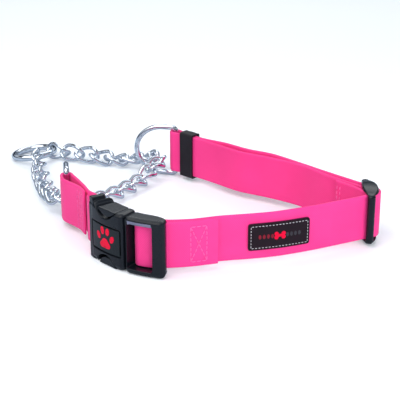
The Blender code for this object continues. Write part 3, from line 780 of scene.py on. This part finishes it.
def buckle_local(place):
    """The curved frame's (u, w, z) of a point in the row frame, in metres."""
    centre = on_table(BUCKLE_MIDDLE + along(BUCKLE_ANGLE + math.pi / 2) * BUCKLE_CURVE)
    away = Vector((place.x, place.y)) - centre
    turn = math.atan2(away.y, away.x) - (BUCKLE_ANGLE - math.pi / 2)
    turn = (turn + math.pi) % (2 * math.pi) - math.pi
    return MIDDLE_U + turn * BUCKLE_CURVE, BUCKLE_CURVE - away.length, place.z - CENTRE_Z


def round_edges(obj, front, back, end=0.0):
    """Rounds the long top and bottom edges of a buckle half, and its far end's edges."""
    front, back, end = front * MM, back * MM, end * MM
    local = [list(buckle_local(v.co)) for v in obj.data.vertices]
    far = max(p[0] for p in local)
    bins = {}
    for u, w, z in local:
        key = round(u / MM)
        high, near, deep = bins.get(key, (0.0, 1.0, 0.0))
        bins[key] = (max(high, abs(z)), min(near, w), max(deep, w))

    def limit(u, which):
        key = math.floor(u / MM)
        share = u / MM - key
        a = bins.get(key, bins.get(key + 1))[which]
        b = bins.get(key + 1, bins.get(key))[which]
        return a + (b - a) * share

    for vert, point in zip(obj.data.vertices, local):
        u, w, z = point
        high, near, deep = (limit(u, which) for which in range(3))
        for radius, face, inward in ((front, w - near, 1), (back, deep - w, -1)):
            top = high - abs(z)
            if radius and top < radius and face < radius:
                reach = math.hypot(radius - top, radius - face)
                if reach > radius:
                    share = radius / reach
                    w += (radius - face) * (1 - share) * inward
                    z -= math.copysign((radius - top) * (1 - share), z)
        if end:
            for axis, face in (("w", w - near), ("z", high - abs(z))):
                if far - u < end and face < end:
                    reach = math.hypot(end - (far - u), end - face)
                    if reach > end:
                        u -= (end - (far - u)) * (1 - end / reach)
                        if axis == "w":
                            w += (end - face) * (1 - end / reach)
                        else:
                            z -= math.copysign((end - face) * (1 - end / reach), z)
        vert.co = curved(u, w, z)


def settle_top(obj, base=12.75 * MM, share=0.38):
    """Lowers the buckle's top above the webbing's edge, all but the post at its end."""
    for vert in obj.data.vertices:
        u, _, z = buckle_local(vert.co)
        if z > base:
            t = min(1.0, max(0.0, (u / MM - 3.6) / 1.6))
            vert.co.z -= (z - base) * share * t * t * (3 - 2 * t)


def cutter_prism(outline, w):
    """A prism through the buckle's thickness, from (u, z) corners in millimetres."""
    form = bmesh.new()
    lower = [form.verts.new((u * MM, w[0] * MM, z * MM)) for u, z in outline]
    upper = [form.verts.new((u * MM, w[1] * MM, z * MM)) for u, z in outline]
    form.faces.new(lower)
    form.faces.new(list(reversed(upper)))
    for k in range(len(outline)):
        n = (k + 1) % len(outline)
        form.faces.new((lower[k], upper[k], upper[n], lower[n]))
    for vert in form.verts:
        vert.co = curved(*vert.co)
    bmesh.ops.recalc_face_normals(form, faces=form.faces)
    return mesh_object("cutter", form)


def pad_outline(side):
    """The press pad: the part of a circle between its inner edge and the flat top."""
    points = []
    for i in range(61):
        t = 2 * math.pi * i / 61
        points.append((14.4 + 7.05 * math.cos(t), (18.3 + 7.05 * math.sin(t)) * side))
    low, high = 11.2, 15.8
    return [(u, math.copysign(min(high, max(low, abs(z))), z)) for u, z in points if abs(z) < 17.5]


def cutter_box(u, w, z, bevel=0.0, flare=0.0):
    """A box in the buckle's frame, curved with it. flare lifts its top at its low w."""
    form = bmesh.new()
    bmesh.ops.create_cube(form, size=1.0)
    for vert in form.verts:
        share = vert.co + Vector((0.5, 0.5, 0.5))
        vert.co = Vector(((u[0] + (u[1] - u[0]) * share.x), w[0] + (w[1] - w[0]) * share.y,
                          z[0] + (z[1] - z[0]) * share.z)) * MM
        if share.y < 0.5:
            vert.co.z += flare * MM * (share.z if share.z > 0.5 else -0.12)
    if bevel:
        through = [e for e in form.edges if abs(e.verts[0].co.y - e.verts[1].co.y) > 1e-5]
        bmesh.ops.bevel(form, geom=through, offset=bevel * MM, segments=4, affect="EDGES",
                        profile=0.5)
    for i in range(9):
        place = (u[0] + (u[1] - u[0]) * (i + 1) / 10) * MM
        bmesh.ops.bisect_plane(form, geom=form.verts[:] + form.edges[:] + form.faces[:],
                               plane_co=(place, 0, 0), plane_no=(1, 0, 0))
    for vert in form.verts:
        vert.co = curved(*vert.co)
    bmesh.ops.recalc_face_normals(form, faces=form.faces)
    return mesh_object("cutter", form)


def moulded(name, node, look, voxel=0.26, passes=4, cuts=(), joins=()):
    """A CAD solid with its edges rounded as a moulding's are: cut, remeshed and relaxed."""
    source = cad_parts[node]
    obj = bpy.data.objects.new(name, source.data.copy())
    bpy.context.scene.collection.objects.link(obj)
    weld = obj.modifiers.new("weld", "WELD")
    weld.merge_threshold = 0.000002
    for other, operation in [(j, "UNION") for j in joins] + [(c, "DIFFERENCE") for c in cuts]:
        change = obj.modifiers.new("change", "BOOLEAN")
        change.operation = operation
        change.object = other
    remesh = obj.modifiers.new("remesh", "REMESH")
    remesh.mode = "VOXEL"
    remesh.voxel_size = voxel * MM
    relax = obj.modifiers.new("relax", "SMOOTH")
    relax.factor = 0.5
    relax.iterations = passes
    bpy.context.view_layer.update()
    graph = bpy.context.evaluated_depsgraph_get()
    mesh = bpy.data.meshes.new_from_object(obj.evaluated_get(graph))
    obj.modifiers.clear()
    old = obj.data
    obj.data = mesh
    bpy.data.meshes.remove(old)
    for other in list(cuts) + list(joins):
        bpy.data.objects.remove(other, do_unlink=True)
    mesh.materials.clear()
    mesh.materials.append(LOOKS[look])
    mesh.shade_smooth()
    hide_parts(node)
    return obj


def shape_slider(obj):
    """Domes the slider's two end plates and thickens the bar in front of the webbing."""
    inner, top = 12.7 * MM, max(abs(v.co.z - CENTRE_Z) for v in obj.data.vertices)
    centre, near = on_table(SLIDER_BAR) + PLATE_MIDDLE, on_table(SLIDER_NEAR_BAR)
    away = (near - on_table(SLIDER_BAR)).normalized()
    for vert in obj.data.vertices:
        z = vert.co.z - CENTRE_Z
        plan = Vector((vert.co.x, vert.co.y))
        if abs(z) > inner:
            rise = (abs(z) - inner) / (top - inner)
            away_from = plan - centre
            away_from.x *= 0.66 if away_from.x > 0 else 1.0
            fall = 1.3 * MM * rise * min(1.0, away_from.length / (11.5 * MM)) ** 2
            plan = centre + away_from * math.sqrt(1 - 0.3 * rise * rise)
            if z > 0:
                vert.co.z -= fall
        else:
            offset = plan - near
            if offset.length < 2.4 * MM and offset.dot(away) > 0:
                plan += offset.normalized() * 0.55 * MM
        vert.co.x, vert.co.y = plan


def paw_print(surface):
    form = bmesh.new()
    pad = []
    for i in range(36):
        t = 2 * math.pi * i / 36
        r = 3.5 + 0.55 * math.cos(3 * (t - math.pi / 2)) + 0.3 * math.cos(2 * t)
        pad.append((13.6 + r * math.cos(t), -3.8 + r * 0.82 * math.sin(t)))
    raised_shape(form, pad, surface, 0.15)
    for s, v, turn in ((8.5, -0.2, 0.45), (11.7, 3.1, 0.15),
                       (15.6, 3.1, -0.15), (18.8, -0.2, -0.45)):
        raised_shape(form, ellipse(s, v, 1.35, 2.1, turn), surface, 0.15)
    return finish_mesh("badge_paw_mark", form, "crimson")


def buckle_pieces():
    shell = moulded("buckle_female_moulding", "buckle_female_shell", "plastic", cuts=[
        cutter_box((1.6, 24.8), (-1.0, 1.15), (-8.9, 6.5), 1.3)], joins=[
        cutter_box((-1.7, 2.4), (0.6, 8.2), (12.95, 17.6), 0.9),
        cutter_box((-1.7, 3.6), (0.6, 11.2), (-15.9, -12.95)),
        cutter_box((-1.7, 2.4), (0.25, 2.4), (-15.7, 14.0)),
        cutter_box((4.6, 6.7), (0.6, 11.2), (-15.2, -9.6)),
        cutter_prism([(4.6, -9.2), (16.4, -9.2), (16.0, -9.7), (13.4, -10.15), (4.6, -9.9)],
                     (0.6, 3.6))])
    settle_top(shell)
    round_edges(shell, 0.9, 2.8)
    attach(shell, "collar_back")

    opening = cutter_box((28.6, 42.8), (-0.6, 3.9), (-12.6, 10.5), 0.9, 0.3)
    chamfer = cutter_box((28.6, 42.8), (-0.6, 1.7), (-12.4, 10.5), 1.2, 3.4)
    lip = cutter_box((27.6, 43.6), (0.4, 3.8), (10.4, 14.0))
    male = moulded("buckle_male_moulding", "buckle_male_frame", "plastic", cuts=[opening, chamfer],
                   joins=[lip])
    settle_top(male)
    round_edges(male, 1.5, 2.2, 2.2)
    # The downward-facing faces of the window's flared top edge take the lighter look: a painted
    # highlight for the floor's reflection there.
    male.data.materials.append(LOOKS["chamfer"])
    for face in male.data.polygons:
        u, w, z = (c / MM for c in buckle_local(face.center))
        if 28.9 < u < 42.4 and w < 1.9 and 9.3 < z < 13.4 and face.normal.z < -0.25:
            face.material_index = 1
    attach(male, "male_half")

    for node, body, side in (("prong_upper", "upper_prong", 1),
                             ("prong_lower", "lower_prong", -1)):
        pad = cutter_prism(pad_outline(side), (0.5, 11.0))
        prong = moulded(node + "_moulding", node, "plastic", 0.24, 5, joins=[pad])
        settle_top(prong)
        attach(prong, body)

    panel = moulded("badge_inlay", "buckle_badge_panel", "panel", 0.12, 1, joins=[
        cutter_box((2.6, 23.8), (0.2, 0.9), (-7.9, 5.5), 1.0)])
    attach(panel, "collar_back")

    def face(s, v, lift=0.0):
        spot = curved(s, 0.2 * MM - lift, v)
        return spot, (curved(s, 0, v) - curved(s, MM, v)).normalized()
    mark = paw_print(face)
    attach(mark, "collar_back")

    slide = moulded("slider_moulding", "triglide_slider", "plastic", 0.26, 3)
    shape_slider(slide)
    attach(slide, "slider")


buckle_pieces()


# ---------------------------------------------------------------- rings and chain


def d_ring(name, node, bar, angle, body, reach=D_REACH):
    top = D_HEIGHT / 2 - D_WIRE / 2
    corner, straight = 2.4 * MM, 8.0 * MM
    points = []
    for i in range(25):
        points.append((0, 0, top - corner - (2 * top - 2 * corner) * i / 25))
    for i in range(9):
        turn = math.pi + math.pi / 2 * i / 8
        points.append((corner + corner * math.cos(turn), 0,
                       -top + corner + corner * math.sin(turn)))
    points += [(corner + (straight - corner) * i / 6, 0, -top) for i in range(1, 6)]
    for i in range(41):
        turn = -math.pi / 2 + math.pi * i / 40
        points.append((straight + (reach - straight) * math.cos(turn), 0, top * math.sin(turn)))
    points += [(straight + (corner - straight) * i / 6, 0, top) for i in range(1, 6)]
    for i in range(8):
        turn = math.pi / 2 + math.pi / 2 * i / 8
        points.append((corner + corner * math.cos(turn), 0, top - corner + corner * math.sin(turn)))
    place = on_table(bar)
    turn = Matrix.Translation((place.x, place.y, CENTRE_Z)) @ Matrix.Rotation(angle, 4, "Z")
    ring = wire_mesh(name, [turn @ Vector(p) for p in points], D_WIRE / 2 * D_SHARE, 20)
    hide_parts(node)
    attach(ring, body)


def ring_frame():
    centre = on_table(RING_CENTRE)
    lean_axis = along(RING_HIGH_SIDE + math.pi / 2)
    lift = RING_WIRE / 2 + RING_RADIUS * math.sin(RING_TILT)
    turn = Matrix.Rotation(-RING_TILT, 4, (lean_axis.x, lean_axis.y, 0))
    return Matrix.Translation((centre.x, centre.y, lift)) @ turn


def link_points():
    """The twisted oval centreline of one link."""
    steps = 56
    flat = LINK_HALF_LENGTH - LINK_HALF_WIDTH
    total = 4 * flat + 2 * math.pi * LINK_HALF_WIDTH
    points = []
    for i in range(steps):
        s = total * (i + 0.5) / steps
        side = 1 if s < total / 2 else -1
        s = s % (total / 2)
        if s < 2 * flat:
            x, y = s - flat, LINK_HALF_WIDTH
        else:
            turn = (s - 2 * flat) / LINK_HALF_WIDTH
            x, y = flat + LINK_HALF_WIDTH * math.sin(turn), LINK_HALF_WIDTH * math.cos(turn)
        x, y = x * side, y * side
        twist = LINK_TWIST * x / LINK_HALF_LENGTH
        points.append(Vector((x, y * math.cos(twist), y * math.sin(twist))))
    return points


def corner_link(bar, angle, direction, shift):
    middle = bar + along(angle) * CROSSING_REACH + along(direction) * shift
    half = along(direction) * (PITCH / 2)
    return middle - half, middle + half


def chain_corners():
    right_in, right_out = corner_link(RIGHT_BAR, RIGHT_D_ANGLE, RIGHT_CORNER, RIGHT_SHIFT)
    left_in, left_out = corner_link(LEFT_BAR, LEFT_D_ANGLE, LEFT_CORNER, LEFT_SHIFT)
    hook = HOOK_REACH - RING_RADIUS
    start = RING_CENTRE - along(RUN_A_SIDE) * hook
    end = RING_CENTRE - along(RUN_C_SIDE) * hook
    return [
        (start, right_in, RUN_LINKS[0], RUN_BOWS[0]), (right_in, right_out, 1, 0),
        (right_out, left_in, RUN_LINKS[1], RUN_BOWS[1]), (left_in, left_out, 1, 0),
        (left_out, end, RUN_LINKS[2], RUN_BOWS[2])]


def chain_height(place):
    height = CHAIN_Z
    for bar, angle in ((RIGHT_BAR, RIGHT_D_ANGLE), (LEFT_BAR, LEFT_D_ANGLE)):
        away = (place - bar - along(angle) * CROSSING_REACH).length - CROSSING_FLAT
        near = max(0.0, min(1.0, away / CROSSING_SLOPE))
        height += (CROSSING_Z - CHAIN_Z) * (1 + math.cos(math.pi * near)) / 2
    away = (place - RING_CENTRE).length - RING_RADIUS - HOOK_FLAT
    near = max(0.0, min(1.0, away / HOOK_SLOPE))
    return height + (HOOK_Z - CHAIN_Z) * (1 + math.cos(math.pi * near)) / 2


def link_frames():
    joints = []
    for start, end, count, bow in chain_corners():
        side = (end - start).normalized().orthogonal()
        for i in range(count):
            share = i / count
            place = start + (end - start) * share + side * (bow * 4 * share * (1 - share))
            joints.append(Vector((*on_table(place), chain_height(place))))
    place = chain_corners()[-1][1]
    joints.append(Vector((*on_table(place), chain_height(place))))
    last = len(joints) - 2
    frames = []
    for i, (start, end) in enumerate(zip(joints, joints[1:])):
        x = (end - start).normalized()
        y = Vector((0, 0, 1)).cross(x).normalized()
        roll = END_LINK_ROLL * max(0.0, 1 - i / ROLLED_LINKS)
        roll -= END_LINK_ROLL * max(0.0, 1 - (last - i) / ROLLED_LINKS)
        turn = Matrix((x, y, x.cross(y))).transposed().to_4x4()
        frames.append(Matrix.Translation((start + end) / 2) @ turn @ Matrix.Rotation(roll, 4, "X"))
    return frames


def metal_pieces():
    d_ring("d_ring_right_wire", "d_ring_right", RIGHT_BAR, RIGHT_D_ANGLE, "right_d_ring",
           RIGHT_D_REACH)
    d_ring("d_ring_left_wire", "d_ring_left", LEFT_BAR, LEFT_D_ANGLE, "left_d_ring")
    place = ring_frame()
    circle = [place @ Vector((*(along(2 * math.pi * i / 72) * RING_RADIUS), 0)) for i in range(72)]
    ring = wire_mesh("leash_ring_wire", circle, RING_WIRE / 2 * RING_SHARE, 20)
    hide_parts("leash_ring")
    attach(ring, "leash")
    points = link_points()
    for i, place in enumerate(link_frames()):
        node = f"chain_link_{i + 1:02d}"
        link = wire_mesh(node + "_wire", [place @ p for p in points], LINK_WIRE / 2 * LINK_SHARE)
        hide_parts(node)
        attach(link, f"link_{i + 1:02d}")


metal_pieces()


# ---------------------------------------------------------------- stage, light and camera


def floor():
    form = bmesh.new()
    bmesh.ops.create_grid(form, x_segments=1, y_segments=1, size=4.0)
    obj = mesh_object("floor", form)
    made, tree, shader = new_material("pale_floor")
    set_inputs(shader, {"Base Color": (0.90, 0.93, 0.97, 1), "Roughness": 0.5,
                        "Specular IOR Level": 0.2, "Emission Color": (0.97, 0.99, 1, 1)})
    rays = tree.nodes.new("ShaderNodeLightPath")
    glow = math_node(tree, "MULTIPLY", rays.outputs["Is Camera Ray"], 0.10)
    tree.links.new(glow, shader.inputs["Emission Strength"])
    mirrored = add(tree, "ShaderNodeBsdfDiffuse", Color=(0.46, 0.52, 0.61, 1))
    choice = tree.nodes.new("ShaderNodeMixShader")
    tree.links.new(rays.outputs["Is Glossy Ray"], choice.inputs[0])
    tree.links.new(shader.outputs[0], choice.inputs[1])
    tree.links.new(mirrored.outputs[0], choice.inputs[2])
    tree.links.new(choice.outputs[0], tree.nodes["Material Output"].inputs[0])
    obj.data.materials.append(made)
    obj.location.z = -0.0001


def area(name, place, size, power, colour):
    """A soft rectangular light that faces the middle of the table."""
    lamp = bpy.data.lights.new(name, "AREA")
    lamp.shape = "RECTANGLE"
    lamp.size, lamp.size_y = size
    lamp.energy = power
    lamp.color = colour
    obj = bpy.data.objects.new(name, lamp)
    obj.location = place
    obj.rotation_euler = (-Vector(place)).to_track_quat("-Z", "Y").to_euler()
    bpy.context.scene.collection.objects.link(obj)
    return obj


def sky():
    """A bright dome with a darker band low down, which gives the chrome its dark lines."""
    world = bpy.data.worlds.new("studio")
    bpy.context.scene.world = world
    world.use_nodes = True
    tree = world.node_tree
    coords = tree.nodes.new("ShaderNodeTexCoord")
    split = tree.nodes.new("ShaderNodeSeparateXYZ")
    tree.links.new(coords.outputs["Generated"], split.inputs[0])
    ramp = tree.nodes.new("ShaderNodeValToRGB")
    elements = ramp.color_ramp.elements
    elements[0].position, elements[0].color = 0.0, (0.55, 0.62, 0.72, 1)
    elements[1].position, elements[1].color = 1.0, (0.80, 0.86, 0.95, 1)
    for place, colour in ((0.08, (0.03, 0.04, 0.06, 1)), (0.20, (0.06, 0.08, 0.11, 1)),
                          (0.30, (0.62, 0.72, 0.86, 1)), (0.50, (0.95, 0.98, 1.0, 1)),
                          (0.58, (0.03, 0.04, 0.06, 1)), (0.70, (0.05, 0.06, 0.08, 1)),
                          (0.76, (0.80, 0.88, 1.0, 1))):
        element = elements.new(place)
        element.color = colour
    tree.links.new(split.outputs[2], ramp.inputs[0])
    tree.links.new(ramp.outputs[0], tree.nodes["Background"].inputs[0])
    tree.nodes["Background"].inputs[1].default_value = 0.62


floor()
sky()
area("key", (-0.45, -0.35, 0.85), (1.1, 0.9), 7.9, (1.0, 0.99, 0.97))
fill = area("fill", (0.45, -0.80, 0.40), (0.9, 0.5), 7.5, (0.97, 0.98, 1.0))
fill.visible_glossy = False
area("back", (0.1, 0.75, 0.7), (0.9, 0.4), 2.6, (0.95, 0.98, 1.0))

camera_data = bpy.data.cameras.new("camera")
camera_data.lens = 105.2
camera_data.sensor_width = 36.0
camera_data.clip_start = 0.01
camera = bpy.data.objects.new("camera", camera_data)
camera.location = (0.010 - ORIGIN.x, -0.620 - ORIGIN.y, 0.2534)
camera.rotation_euler = (math.radians(68.0), 0, 0)
bpy.context.scene.collection.objects.link(camera)
bpy.context.scene.camera = camera
bpy.context.scene.view_settings.view_transform = "Standard"
